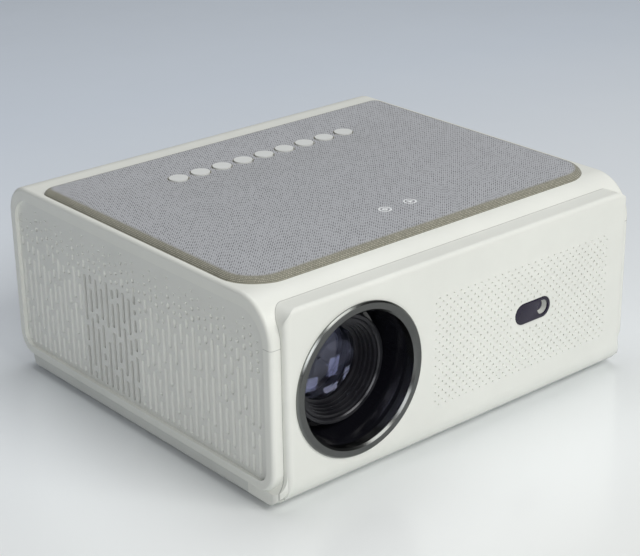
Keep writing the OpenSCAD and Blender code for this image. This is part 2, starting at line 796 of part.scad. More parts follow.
// Round lens around the axis: rim radius, rim thickness, bulge radius to each side.
module lens_disc(depth, r, t, bulge) {
    far = sqrt(bulge * bulge - r * r) - t / 2;
    at_lens() translate([0, 0, -y_cover - depth]) intersection() {
        translate([0, 0, -2 * t]) cylinder(h = 4 * t, r = r);
        translate([0, 0, -far]) sphere(r = bulge, $fn = 240);
        translate([0, 0, far]) sphere(r = bulge, $fn = 240);
    }
}

module front_element() {
    color([0.2, 0.22, 0.35, 0.5])
        lens_disc(barrel_depth + 1.6 + 12.2, barrel_r - 4.6 - element_play, 4.4, 60);
}

module rear_element() {
    color([0.2, 0.22, 0.35, 0.5])
        lens_disc(barrel_depth + 1.6 + 28.6, barrel_r - 3 - element_play, 5, 70);
}

module lens_holder() {
    d1 = barrel_depth + 13;
    inner = barrel_r + run_gap;
    color([0.1, 0.1, 0.11]) lens_turn([
        [inner, d1 - 6], [nose_r, d1 - 6], [nose_r, d1], [nose_r + 2.4, d1],
        [nose_r + 2.4, d1 + 28], [nose_r + 7, d1 + 28], [nose_r + 7, d1 + 30], [inner, d1 + 30]]);
}

module ir_window() {
    color([0.06, 0.04, 0.08]) {
        ext_y(y_cover - 0.2, y_cover + wall)
            translate([window_x, window_z]) window_outline(0);
        ext_y(y_cover + wall, y_cover + wall + 1.2)
            translate([window_x, window_z]) window_outline(1.6);
    }
}

module ir_receiver() {
    y0 = y_cover + wall + 1.2;
    color([0.12, 0.1, 0.14]) {
        translate([window_x + window_w / 2 - window_h / 2, 0, window_z]) cyl_y(y0, y0 + 3, 3.6);
        block(window_x - 10, window_x + 12, y0 + 2.6, y0 + 4.2, window_z - 7, window_z + 7);
    }
}

// ---- light engine ----

module engine_case() {
    t = tunnel_half;
    color([0.12, 0.12, 0.13]) difference() {
        union() {
            block(engine_x0, engine_step_x, engine_y0, engine_y1, engine_z0, engine_z1);
            block(engine_step_x - 1, engine_x1, engine_y0, engine_y1, engine_z0, engine_step_z);
            block(engine_x1 - 1, tunnel_x1, beam_y - t - engine_t, beam_y + t + engine_t,
                lens_z - t - engine_t, lens_z + t + engine_t);
        }
        block(engine_x0 + engine_t, engine_step_x - engine_t, engine_y0 + engine_t,
            engine_y1 - engine_t, engine_z0 + engine_t, engine_z1 + 1);
        block(engine_step_x - engine_t - 1, engine_x1 - engine_t, engine_y0 + engine_t,
            engine_y1 - engine_t, engine_z0 + engine_t, engine_step_z - engine_t);
        block(engine_x1 - engine_t - 1, tunnel_x1 + 1, beam_y - t, beam_y + t,
            lens_z - t, lens_z + t);
        at_lens() translate([0, 0, -engine_y0 - 5]) cylinder(h = 10, r = barrel_r + run_gap);
    }
}

module engine_lid() {
    color([0.12, 0.12, 0.13])
        block(engine_x0, engine_step_x, engine_y0, engine_y1, engine_z1, engine_z1 + 2);
}

module fold_mirror() {
    color([0.8, 0.82, 0.85])
        translate([lens_x, beam_y, engine_z0 + engine_t])
            rotate([0, 0, 45]) translate([-32, 0, 0]) cube([64, mirror_t, mirror_h]);
}

module engine_slice(x, t, z1) {
    block(x, x + t, beam_y - 42, beam_y + 42, engine_z0 + engine_t, z1);
}

module lcd_panel() {
    color([0.15, 0.18, 0.2]) engine_slice(engine_x1 - 14, 2.4, engine_step_z - engine_t);
}

module fresnel_lens() {
    color([0.75, 0.8, 0.85, 0.5])
        engine_slice(engine_x1 - 7, 2, engine_step_z - engine_t);
}

module condenser_lens() {
    r = condenser_r;
    bulge = 50;
    far = sqrt(bulge * bulge - r * r);
    color([0.75, 0.8, 0.85, 0.5]) translate([condenser_x, beam_y, lens_z]) rotate([0, 90, 0])
        intersection() {
            cylinder(h = 12, r = r);
            translate([0, 0, 3 - far]) sphere(r = bulge, $fn = 240);
        }
}

module led_module() {
    color([0.85, 0.82, 0.6]) {
        block(tunnel_x1, tunnel_x1 + 2, beam_y - 24, beam_y + 24, lens_z - lamp_half, lens_z + lamp_half);
        translate([0, beam_y, lens_z]) cyl_x(tunnel_x1 - 3, tunnel_x1 + 0.1, 12);
    }
}

module heat_sink() {
    x0 = tunnel_x1 + 2;
    color([0.7, 0.71, 0.72]) {
        block(x0, x0 + 4, beam_y - 26, beam_y + 26, lens_z - lamp_half, lens_z + lamp_half);
        for (k = [0:12])
            translate([0, beam_y - 26 + k * 4.2, 0])
                block(x0 + 3.9, exhaust_x, 0, 1.6, lens_z - lamp_half, lens_z + lamp_half - 3.4);
    }
}

// ---- fans ----

// Fan housing seen along its axis, which runs along X from the bearing side.
module fan_frame(bearing_low) {
    hub_x = bearing_low ? 0 : fan_t - 2;
    difference() {
        ext_x(0, fan_t) translate([0, 0])
            outline(-fan_size / 2, fan_size / 2, -fan_size / 2, fan_size / 2, 4, 4, 4, 4);
        cyl_x(-1, fan_t + 1, fan_bore);
        for (y = [-1, 1], z = [-1, 1])
            translate([0, y * (fan_size / 2 - 5), z * (fan_size / 2 - 5)])
                cyl_x(-1, fan_t + 1, 2.1);
    }
    difference() {
        union() {
            translate([hub_x, 0, 0]) cyl_x(0, 2, 13);
            for (a = [30, 150, 270])
                rotate([a, 0, 0]) block(hub_x, hub_x + 2, -1.5, 1.5, 8, fan_bore + 0.5);
            translate([bearing_low ? 0 : fan_t - 8, 0, 0]) cyl_x(0, 8, 3.5);
        }
        cyl_x(-1, fan_t + 1, 1.5 + run_gap);
    }
}

module fan_rotor(bearing_low) {
    x0 = bearing_low ? 2.8 : 1.2;
    x1 = bearing_low ? fan_t - 1.2 : fan_t - 2.8;
    cup0 = bearing_low ? x0 : x0 + 1.4;
    difference() {
        cyl_x(x0, x1, 12.5);
        cyl_x(bearing_low ? x0 - 1 : x0 + 1.4, bearing_low ? x1 - 1.4 : x1 + 1, 11);
    }
    cyl_x(bearing_low ? 1 : x0 + 1, bearing_low ? x1 - 1 : fan_t - 1, 1.5);
    intersection() {
        difference() {
            cyl_x(x0 + 0.4, x1 - 0.4, fan_bore - 0.8);
            cyl_x(x0, x1, 12);
        }
        for (k = [0:fan_blades - 1])
            rotate([k * 360 / fan_blades, 0, 0]) translate([fan_t / 2, 0, 10])
                rotate([0, 0, 38]) translate([-0.6, -20, 0]) cube([1.2, 40, fan_size]);
    }
}

module intake_place() {
    translate([-panel_back_x, fan_y, intake_z]) children();
}

module exhaust_place() {
    translate([exhaust_x, exhaust_y, exhaust_z]) children();
}

module intake_fan_frame() {
    color([0.1, 0.1, 0.1]) intake_place() fan_frame(false);
}

module intake_rotor() {
    color([0.15, 0.15, 0.15]) intake_place() fan_rotor(false);
}

module exhaust_fan_frame() {
    color([0.1, 0.1, 0.1]) exhaust_place() fan_frame(true);
}

module exhaust_rotor() {
    color([0.15, 0.15, 0.15]) exhaust_place() fan_rotor(true);
}

// ---- speakers ----

module speaker(x) {
    y0 = y_cover + wall;
    color([0.1, 0.1, 0.11]) translate([x, 0, speaker_z]) difference() {
        union() {
            ext_y(y0, y0 + 2) outline(-18, 18, -18, 18, 4, 4, 4, 4);
            cyl_y(y0 + 1.9, y0 + 9, speaker_r);
            cyl_y(y0 + 8.9, y0 + 17, 11);
        }
        at_speaker_cone(y0);
    }
}

module at_speaker_cone(y0) {
    translate([0, y0 - 0.01, 0]) rotate([-90, 0, 0])
        difference() {
            cylinder(h = 5, r1 = speaker_r - 1.5, r2 = 7);
            translate([0, 0, 1]) cylinder(h = 6, r = 5);
        }
}

module speaker_left() {
    speaker(speaker_x[0]);
}

module speaker_right() {
    speaker(speaker_x[1]);
}

// ---- disc drive ----

module drive_case() {
    color([0.62, 0.63, 0.64]) difference() {
        block(drive_x0, drive_x1, drive_y0, drive_y1, drive_low, drive_high);
        block(drive_x0 + sheet, drive_x1 + 1, drive_y0 + sheet, drive_y1 - sheet,
            drive_low + sheet, drive_high - sheet);
    }
}

module disc_tray() {
    color([0.12, 0.12, 0.13]) difference() {
        block(tray_x0, drive_x1, tray_y0, tray_y1, tray_low, tray_high);
        translate([disc_x, drive_y, 0]) cyl_z(well_z, tray_high + 1, well_r);
        translate([disc_x, drive_y, 0]) cyl_z(tray_low - 1, well_z + 1, 12.4);
        block(bay_x0, bay_x1, sled_y - 15, sled_y + 21, tray_low - 1, well_z + 1);
        for (s = [-1, 1])
            translate([0, sled_y + s * rod_off, sled_z])
                cyl_x(bay_x0 - 3, bay_x1 + 1, rod_r);
        translate([0, screw_y, sled_z]) cyl_x(bay_x0 - 3, bay_x1 + 8, 1 + run_gap);
    }
}

module tray_bezel() {
    color([0.86, 0.87, 0.86]) difference() {
        block(drive_x1, panel_x + 0.8, drive_y0 + 0.5, drive_y1 - 0.5,
            drive_low + 0.5, drive_high - 0.5);
        translate([0, drive_y - 30, drive_low + drive_h / 2])
            cyl_x(drive_x1 + 1.4, panel_x + 2, 3.3);
    }
}

module eject_button() {
    color([0.75, 0.76, 0.76]) translate([0, drive_y - 30, drive_low + drive_h / 2])
        cyl_x(drive_x1 + 2.4, panel_x + 1.4, 3);
}

module spindle_motor() {
    color([0.6, 0.61, 0.62]) translate([disc_x, drive_y, 0]) difference() {
        cyl_z(tray_low + 0.2, well_z, 12.4);
        cyl_z(tray_low + 1, well_z + 1, 1.5 + run_gap);
    }
}

module spindle_hub() {
    color([0.2, 0.2, 0.2]) translate([disc_x, drive_y, 0]) {
        cyl_z(tray_low + 1.2, well_z + 1, 1.5);
        cyl_z(well_z + 0.3, well_z + 1.8, 12);
        cyl_z(well_z + 1.7, well_z + 4, hub_r);
    }
}

module guide_rods() {
    color([0.75, 0.76, 0.77])
        for (s = [-1, 1])
            translate([0, sled_y + s * rod_off, sled_z]) cyl_x(bay_x0 - 3, bay_x1 + 1, rod_r);
}

module pickup_sled() {
    z0 = tray_low + 0.3;
    z1 = well_z - 0.6;
    color([0.2, 0.2, 0.22]) difference() {
        union() {
            block(sled_x, sled_x + 11, sled_y - 14.4, sled_y + 14.4, z0, z1);
            block(sled_x + 2, sled_x + 9, sled_y + 14.3, sled_y + 20, z0, z1);
            translate([sled_x + 5.5, sled_y, 0]) cyl_z(z1 - 0.1, z1 + 0.5, 3);
        }
        for (s = [-1, 1])
            translate([0, sled_y + s * rod_off, sled_z])
                cyl_x(sled_x - 1, sled_x + 12, rod_r + run_gap);
        translate([0, screw_y, sled_z]) cyl_x(sled_x - 1, sled_x + 12, 1 + run_gap);
    }
}

module lead_screw() {
    color([0.75, 0.76, 0.77]) translate([0, screw_y, sled_z]) cyl_x(bay_x0 - 2.6, bay_x1 + 7, 1);
}

// ---- boards and sockets ----

module main_board() {
    z = board_z + 1.6;
    color([0.06, 0.28, 0.16]) {
        block(main_x0, board_end, board_y0, board_y1, board_z, z);
        block(main_x0 + 46, main_x0 + 68, board_y0 + 12, board_y0 + 34, z, z + 2.2);
        block(board_end - 26, board_end - 12, board_y0 + 10, board_y0 + 24, z, z + 1.6);
        block(main_x0 + 16, main_x0 + 28, board_y0 + 10, board_y0 + 30, z, z + 1.4);
        for (k = [0:3])
            translate([main_x0 + 36, board_y0 + 6 + k * 10, 0]) cyl_z(z, z + 8, 3.2);
        block(board_end - 20, board_end - 4, board_y1 - 24, board_y1 - 10, z, z + 7);
    }
}

module power_board() {
    z = board_z + 1.6;
    color([0.55, 0.4, 0.16]) {
        block(-board_end, power_x1, board_y0, board_y1, board_z, z);
        block(power_x1 - 50, power_x1 - 24, board_y1 - 33, board_y1 - 8, z, z + 20);
        for (k = [0:1])
            translate([12 - board_end, board_y1 - 29.5 + k * 15, 0]) cyl_z(z, z + 24, 6);
        block(power_x1 - 16, power_x1 - 6, board_y1 - 33, board_y1 - 8, z, z + 14);
    }
}

module shell_socket(x, w, h, z, depth) {
    y1 = port_y;
    difference() {
        block(x - w / 2, x + w / 2, y1 - depth, y1, z, z + h);
        block(x - w / 2 + 0.6, x + w / 2 - 0.6, y1 - depth + 1.5, y1 + 1, z + 0.6, z + h - 0.6);
    }
    block(x - w / 2 + 1.8, x + w / 2 - 1.8, y1 - depth + 1.4, y1 - 1.5,
        z + h / 2 - 0.4, z + h / 2 + 0.4);
}

module socket_foot(x, w, z1) {
    block(x - w / 2, x + w / 2, board_y1 - 8, board_y1, board_z + 1.6, z1);
}

module sockets() {
    color([0.7, 0.71, 0.72]) {
        for (x = display_x) {
            shell_socket(x, 15.2, 5.6, 26.8, 11);
            socket_foot(x, 15.2, 26.9);
        }
        for (x = data_x) {
            shell_socket(x, 13.2, 7.2, 26.6, 13);
            socket_foot(x, 13.2, 26.7);
        }
        for (x = jack_x) {
            translate([x, 0, 31]) difference() {
                union() {
                    cyl_y(port_y - 3, port_y, 3.2);
                    block(-3.6, 3.6, port_y - 14, port_y - 2.9, -3.6, 3.6);
                }
                cyl_y(port_y - 12, port_y + 1, jack_r);
            }
            socket_foot(x, 7.2, 27.5);
        }
    }
}

module power_inlet() {
    x = inlet_x;
    color([0.05, 0.05, 0.05]) {
        difference() {
            ext_y(port_y - 14, port_y) translate([x, 0]) outline(-8.4, 8.4, 28.2, 36.8, 3, 3, 3, 3);
            ext_y(port_y - 12, port_y + 1)
                translate([x, 0]) outline(-7.2, 7.2, 29.4, 35.6, 2.4, 2.4, 2.4, 2.4);
        }
        for (s = [-1, 1]) translate([x + s * 4, 0, 32.5]) cyl_y(port_y - 12.5, port_y - 2, 1.2);
        block(x - 8, x + 8, board_y1 - 8, board_y1, board_z + 1.6, 28.3);
    }
}

// ---- hardware ----

module case_screws() {
    color([0.4, 0.4, 0.42])
        screw_places() difference() {
            union() {
                cyl_z(z_base + 0.2, z_base + 1.4, 3);
                cyl_z(z_base + 1.3, frame_low + wall, 1.5);
            }
            block(-2, 2, -0.4, 0.4, z_base, z_base + 0.9);
            block(-0.4, 0.4, -2, 2, z_base, z_base + 0.9);
        }
}

module feet() {
    color([0.12, 0.12, 0.12]) foot_places() cyl_z(0, z_base + 1, foot_r);
}

module tripod_insert() {
    color([0.75, 0.6, 0.3]) difference() {
        cyl_z(z_base, z_base + tripod_l + 1, 6);
        cyl_z(z_base - 1, z_base + tripod_l, tripod_r);
    }
}

top_shell();
lower_shell();
base_plate();
front_cover();
left_grille();
right_panel();
rear_panel();
pad_plate();
fabric_pad();
key(1);  // key_1
key(2);  // key_2
key(3);  // key_3
key(4);  // key_4
key(5);  // key_5
key(6);  // key_6
key(7);  // key_7
key(8);  // key_8
key(9);  // key_9
key_board();
lens_bezel();
lens_shroud();
focus_ring();
lens_barrel();
front_element();
rear_element();
lens_holder();
ir_window();
ir_receiver();
engine_case();
engine_lid();
fold_mirror();
lcd_panel();
fresnel_lens();
condenser_lens();
led_module();
heat_sink();
intake_fan_frame();
intake_rotor();
exhaust_fan_frame();
exhaust_rotor();
speaker_left();
speaker_right();
drive_case();
disc_tray();
tray_bezel();
eject_button();
spindle_motor();
spindle_hub();
guide_rods();
pickup_sled();
lead_screw();
main_board();
power_board();
sockets();
power_inlet();
case_screws();
feet();
tripod_insert();
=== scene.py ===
import json
import math

import bmesh
import bpy
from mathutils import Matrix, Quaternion, Vector


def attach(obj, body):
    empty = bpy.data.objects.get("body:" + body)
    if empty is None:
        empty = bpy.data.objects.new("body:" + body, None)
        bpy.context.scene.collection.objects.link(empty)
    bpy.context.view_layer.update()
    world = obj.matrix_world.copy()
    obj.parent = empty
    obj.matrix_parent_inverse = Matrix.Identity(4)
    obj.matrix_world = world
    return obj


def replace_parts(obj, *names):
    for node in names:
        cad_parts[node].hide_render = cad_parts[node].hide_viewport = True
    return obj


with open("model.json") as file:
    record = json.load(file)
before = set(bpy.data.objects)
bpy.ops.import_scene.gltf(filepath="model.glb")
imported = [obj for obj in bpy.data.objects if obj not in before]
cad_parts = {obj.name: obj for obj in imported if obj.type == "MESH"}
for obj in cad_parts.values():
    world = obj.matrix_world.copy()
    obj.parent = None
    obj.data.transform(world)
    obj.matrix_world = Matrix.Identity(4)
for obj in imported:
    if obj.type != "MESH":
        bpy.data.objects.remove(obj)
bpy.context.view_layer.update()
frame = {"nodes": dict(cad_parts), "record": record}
nodes = frame["nodes"]
print("frame in place:", len(nodes), "nodes")

mm = 0.001


# Lowest and highest corner of a node, in millimetres.
def reach(name):
    corners = [nodes[name].matrix_world @ Vector(c) for c in nodes[name].bound_box]
    return [[pick(c[k] for c in corners) / mm for k in range(3)] for pick in (min, max)]


view = {
    "place": (-0.5272, -0.6222, 0.3953),
    "azimuth": -40.217,
    "elevation": 22.927,
    "roll": -0.837,
    "lens": 95.557,
}


def makeCamera():
    az = math.radians(view["azimuth"])
    el = math.radians(view["elevation"])
    back = Vector((math.sin(az) * math.cos(el), -math.cos(az) * math.cos(el), math.sin(el)))
    data = bpy.data.cameras.new("camera")
    data.sensor_fit = "HORIZONTAL"
    data.sensor_width = 36
    data.lens = view["lens"]
    data.clip_start = 0.05
    data.clip_end = 30
    cam = bpy.data.objects.new("camera", data)
    bpy.context.scene.collection.objects.link(cam)
    cam.location = view["place"]
    cam.rotation_mode = "QUATERNION"
    turn = Quaternion((0, 0, 1), math.radians(view["roll"]))
    cam.rotation_quaternion = (-back).to_track_quat("-Z", "Y") @ turn
    bpy.context.scene.camera = cam


makeCamera()
print("camera set")


# A socket that can be used in plain expressions.
class Signal:
    def __init__(self, finish, socket):
        self.finish = finish
        self.socket = socket

    def maths(self, operation, *values):
        return self.finish.node("ShaderNodeMath", {"operation": operation}, dict(enumerate(values)))

    def __add__(self, other):
        return self.maths("ADD", self, other)

    def __radd__(self, other):
        return self.maths("ADD", other, self)

    def __sub__(self, other):
        return self.maths("SUBTRACT", self, other)

    def __rsub__(self, other):
        return self.maths("SUBTRACT", other, self)

    def __mul__(self, other):
        return self.maths("MULTIPLY", self, other)

    def __rmul__(self, other):
        return self.maths("MULTIPLY", other, self)

    def __truediv__(self, other):
        return self.maths("DIVIDE", self, other)

    def __rtruediv__(self, other):
        return self.maths("DIVIDE", other, self)

    def __mod__(self, other):
        return self.maths("FLOORED_MODULO", self, other)

    def __lt__(self, other):
        return self.maths("LESS_THAN", self, other)

    def floor(self):
        return self.maths("FLOOR", self)

    def fract(self):
        return self.maths("FRACT", self)

    def root(self):
        return self.maths("SQRT", self)

    def least(self, other):
        return self.maths("MINIMUM", self, other)

    def most(self, other):
        return self.maths("MAXIMUM", self, other)

    def size(self):
        return self.maths("ABSOLUTE", self)


# A material with a Principled surface, built from expressions.
class Finish:
    def __init__(self, name, **surface):
        self.material = bpy.data.materials.new(name)
        self.material.use_nodes = True
        self.tree = self.material.node_tree
        self.shader = self.tree.nodes["Principled BSDF"]
        self.set(**surface)

    def node(self, kind, settings=None, sockets=None, out=0):
        made = self.tree.nodes.new(kind)
        for key, value in (settings or {}).items():
            setattr(made, key, value)
        for key, value in (sockets or {}).items():
            self.plug(made.inputs[key], value)
        return Signal(self, made.outputs[out])

    def plug(self, socket, value):
        if isinstance(value, Signal):
            self.tree.links.new(value.socket, socket)
        elif isinstance(value, (tuple, list)) and len(socket.default_value) == 4:
            socket.default_value = (*value[:3], 1)
        else:
            socket.default_value = value

    def set(self, **surface):
        for key, value in surface.items():
            self.plug(self.shader.inputs[key.replace("_", " ")], value)

    def place(self):
        return self.node("ShaderNodeTexCoord", out="Object")

    def axes(self, vector=None):
        parts = self.node("ShaderNodeSeparateXYZ", {}, {0: vector or self.place()})
        made = parts.socket.node
        return [Signal(self, made.outputs[k]) for k in range(3)]

    def noise(self, scale, detail=2.0, roughness=0.5, vector=None):
        return self.node(
            "ShaderNodeTexNoise",
            {"noise_dimensions": "3D"},
            {"Vector": vector or self.place(), "Scale": scale, "Detail": detail, "Roughness": roughness},
        )

    def mix(self, amount, a, b):
        return self.node("ShaderNodeMix", {"data_type": "RGBA"}, {0: amount, 6: a, 7: b}, out=2)

    def stretched(self, vector, factors):
        return self.node("ShaderNodeVectorMath", {"operation": "MULTIPLY"}, {0: vector, 1: factors})

    def remap(self, value, low, high, newLow=0.0, newHigh=1.0):
        return self.node("ShaderNodeMapRange", {}, {0: value, 1: low, 2: high, 3: newLow, 4: newHigh})

    def bump(self, height, distance, strength):
        return self.node(
            "ShaderNodeBump", {}, {"Height": height, "Distance": distance, "Strength": strength}
        )


plastics = {
    "caseWhite": {"colour": (0.80, 0.81, 0.765), "shade": 0.03, "rough": 0.40, "grain": 2600},
    "coverWhite": {"colour": (0.80, 0.81, 0.765), "shade": 0.03, "rough": 0.40, "grain": 2600},
    "grilleWhite": {"colour": (0.76, 0.77, 0.735), "shade": 0.03, "rough": 0.44, "grain": 2600},
    "panelWhite": {"colour": (0.76, 0.77, 0.735), "shade": 0.03, "rough": 0.44, "grain": 2600},
    "baseGrey": {"colour": (0.66, 0.675, 0.645), "shade": 0.04, "rough": 0.46, "grain": 2200},
    "keyWhite": {"colour": (0.76, 0.775, 0.765), "shade": 0.02, "rough": 0.36, "grain": 3000},
    "darkPlastic": {"colour": (0.032, 0.032, 0.036), "shade": 0.25, "rough": 0.5, "grain": 1800},
    "circuitGreen": {"colour": (0.03, 0.16, 0.08), "shade": 0.25, "rough": 0.34, "grain": 900},
    "circuitTan": {"colour": (0.36, 0.24, 0.10), "shade": 0.2, "rough": 0.6, "grain": 900},
    "lampYellow": {"colour": (0.72, 0.58, 0.14), "shade": 0.1, "rough": 0.5, "grain": 1200},
    "rubberBlack": {"colour": (0.022, 0.022, 0.022), "shade": 0.3, "rough": 0.75, "grain": 1500},
}


caseFront = reach("lower_shell")[0][1]
caseTop = reach("top_shell")[1][2]
caseBend = 21.0  # outer radius of the shells' upper front bend
# Painted shadow lines along the cover's and the grille panel's upper front bends, and the dark hairline
# seam between the two shells: their bends, widths, strength and colour.
seamAndShadowLines = {
    "cover": {"y": caseFront + caseBend, "z": caseTop - caseBend, "radius": caseBend},
    "panel": {"y": caseFront + caseBend, "z": caseTop - caseBend - 1.7, "radius": caseBend - 5.2},
    "seam": reach("lower_shell")[1][2],
    "line": 0.3,  # half the width of a shadow line
    "hairline": 0.15,
    "shade": 0.5,
    "colour": (0.16, 0.16, 0.15),
}


# Painted shadow line round an upper front bend: a quarter circle that runs straight on at both ends.
def bendLine(f, bend):
    x, y, z = f.axes()
    ahead = (y - bend["y"] * mm).least(0.0)
    above = (z - bend["z"] * mm).most(0.0)
    away = (ahead * ahead + above * above).root() - bend["radius"] * mm
    return away.size() < seamAndShadowLines["line"] * mm


def coverLine(f):
    return bendLine(f, seamAndShadowLines["cover"])


def panelLine(f):
    return bendLine(f, seamAndShadowLines["panel"])


# Hairline between the upper and the lower shell, on the front half only.
def shellSeam(f):
    x, y, z = f.axes()
    return ((z - seamAndShadowLines["seam"] * mm).size() < seamAndShadowLines["hairline"] * mm) * (y < 0.0)


# Moulded plastic: a fine spark texture, faint cloudy shade and uneven gloss. A line darkens it.
def mouldedPlastic(name, line=None):
    facts = plastics[name]
    f = Finish(name)
    cloud = f.noise(22, 3)
    grain = f.noise(facts["grain"], 2, 0.6)
    wipe = f.noise(90, 4, 0.65)
    dark = tuple(c * (1 - facts["shade"]) for c in facts["colour"])
    light = tuple(min(c * (1 + facts["shade"] * 0.5), 1) for c in facts["colour"])
    colour = f.mix(f.remap(cloud * 0.7 + wipe * 0.3, 0.35, 0.65), dark, light)
    if line:
        colour = f.mix(line(f) * seamAndShadowLines["shade"], colour, seamAndShadowLines["colour"])
    f.set(
        Base_Color=colour,
        Roughness=facts["rough"] + (wipe - 0.5) * 0.12 + (grain - 0.5) * 0.1,
        Normal=f.bump(grain, 0.012 * mm, 0.5),
    )
    return f.material


metals = {
    "steel": {"colour": (0.56, 0.57, 0.58), "rough": 0.32, "streak": (40, 40, 2600)},
    "sinkAluminium": {"colour": (0.66, 0.67, 0.69), "rough": 0.36, "streak": (30, 1800, 1800)},
    "insertBrass": {"colour": (0.62, 0.44, 0.17), "rough": 0.28, "streak": (900, 900, 900)},
}


# Rolled, drawn or turned metal: fine streaks along the working direction.
def workedMetal(name):
    facts = metals[name]
    f = Finish(name, Metallic=1.0)
    streak = f.noise(1.0, 3, 0.6, f.stretched(f.place(), facts["streak"]))
    blotch = f.noise(60, 3)
    dull = tuple(c * 0.82 for c in facts["colour"])
    f.set(
        Base_Color=f.mix(blotch, dull, facts["colour"]),
        Roughness=facts["rough"] + (streak - 0.5) * 0.25,
        Normal=f.bump(streak, 0.01 * mm, 0.4),
    )
    return f.material


lens = {"x": -69.6, "z": 54.2, "bezelRadius": 37.7, "glintEdge": 0.9}


# Radius from the lens axis, for turned marks around it.
def lensRadius(f):
    x, y, z = f.axes()
    across = x - lens["x"] * mm
    up = z - lens["z"] * mm
    return (across * across + up * up).root()


# Dark anodised ring: turned lines, with a painted highlight on its outer chamfer.
def bezelMetal():
    f = Finish("bezelMetal", Metallic=1.0)
    r = lensRadius(f)
    lines = f.noise(1.0, 2, 0.5, f.node("ShaderNodeCombineXYZ", {}, {0: r * 9000.0}))
    dust = f.noise(300, 4, 0.7)
    # Painted highlight: the outer chamfer is painted grey, where the polished ring would catch a glint.
    wearAndGlint = f.remap(r, (lens["bezelRadius"] - lens["glintEdge"]) * mm, lens["bezelRadius"] * mm)
    body = f.mix(dust, (0.105, 0.108, 0.107), (0.135, 0.138, 0.136))
    f.set(
        Base_Color=f.mix(wearAndGlint * 0.35, body, (0.34, 0.36, 0.34)),
        Roughness=0.24 + (lines - 0.5) * 0.10 + (dust - 0.5) * 0.1,
        Normal=f.bump(lines, 0.004 * mm, 0.35),
    )
    return f.material


# Polished black cone, with dust that dulls its gloss here and there.
def glossBlack():
    colour = (0.006, 0.006, 0.009)
    f = Finish("glossBlack", Specular_IOR_Level=0.6)
    dust = f.noise(700, 5, 0.75)
    film = f.noise(40, 3)
    speck = f.remap(dust, 0.66, 0.74)
    grey = tuple(c + 0.012 for c in colour)
    f.set(
        Base_Color=f.mix(speck * 0.6 + film * 0.2, colour, grey),
        Roughness=0.07 + film * 0.06 + speck * 0.25,
    )
    return f.material


# Black anodised barrel: satin, with fine stepped turning marks.
def barrelBlack(name, rough):
    f = Finish(name, Metallic=0.35)
    r = lensRadius(f)
    x, y, z = f.axes()
    turned = f.noise(1.0, 2, 0.5, f.node("ShaderNodeCombineXYZ", {}, {0: r * 5000.0, 1: y * 5000.0}))
    dust = f.noise(500, 4, 0.7)
    f.set(
        Base_Color=f.mix(dust, (0.012, 0.012, 0.016), (0.03, 0.03, 0.036)),
        Roughness=rough + (turned - 0.5) * 0.2,
        Normal=f.bump(turned, 0.006 * mm, 0.4),
    )
    return f.material


# Coated glass: clear, with a faint blue film and a few specks of dust.
def lensGlass():
    f = Finish("lensGlass", Transmission_Weight=1.0, IOR=1.52, Specular_Tint=(0.72, 0.74, 1.0))
    dust = f.noise(900, 5, 0.8)
    film = f.noise(30, 2)
    speck = f.remap(dust, 0.68, 0.78)
    f.set(
        Base_Color=f.mix(speck * 0.5, (0.86, 0.88, 0.98), (0.6, 0.6, 0.62)),
        Roughness=0.015 + speck * 0.3 + film * 0.015,
    )
    return f.material


# Smoked plate, polished: a dark tint with specks of dust.
def smokedPlate(name, colour):
    f = Finish(name, Specular_IOR_Level=0.4)
    dust = f.noise(800, 5, 0.75)
    film = f.noise(120, 2)
    speck = f.remap(dust, 0.67, 0.76)
    f.set(
        Base_Color=f.mix(film * 0.5 + speck * 0.4, colour, tuple(c * 2.6 for c in colour)),
        Roughness=0.08 + speck * 0.3 + film * 0.05,
    )
    return f.material


def mirrorSilver():
    f = Finish("mirrorSilver", Metallic=1.0)
    haze = f.noise(60, 3)
    f.set(
        Base_Color=f.mix(haze, (0.86, 0.87, 0.89), (0.93, 0.93, 0.94)),
        Roughness=0.02 + haze * 0.04,
    )
    return f.material


weave = {
    "pitch": 0.62,  # thread to thread
    "wander": 0.5,  # how far threads stray, in threads
    "light": (0.475, 0.485, 0.515),
    "dark": (0.12, 0.12, 0.13),
    # Colours of the rolled edge: real rows of loops, with olive gaps that make the edge darker as painted
    # shade.
    "pale": (0.50, 0.485, 0.40),  # threads round the rolled edge
    "olive": (0.14, 0.135, 0.10),  # gaps between them
    "pit": 0.8,  # shade between the threads
    "dashGap": 1.0,  # between neighbouring dashes, across the diagonal
    "dashStep": 3.6,  # from dash to dash along it
    "dashWide": 0.30,  # share of the gap and the step that a dash takes
    "dashLong": 0.44,
    "rowStep": 0.8,  # from row to row down the rolled edge
    "barStep": 0.95,  # from loop to loop along a row
    "flatLevel": 0.998,  # upward part of the normal where the edge starts, and where it is full
    "edgeLevel": 0.95,
    "relief": 0.05,
}
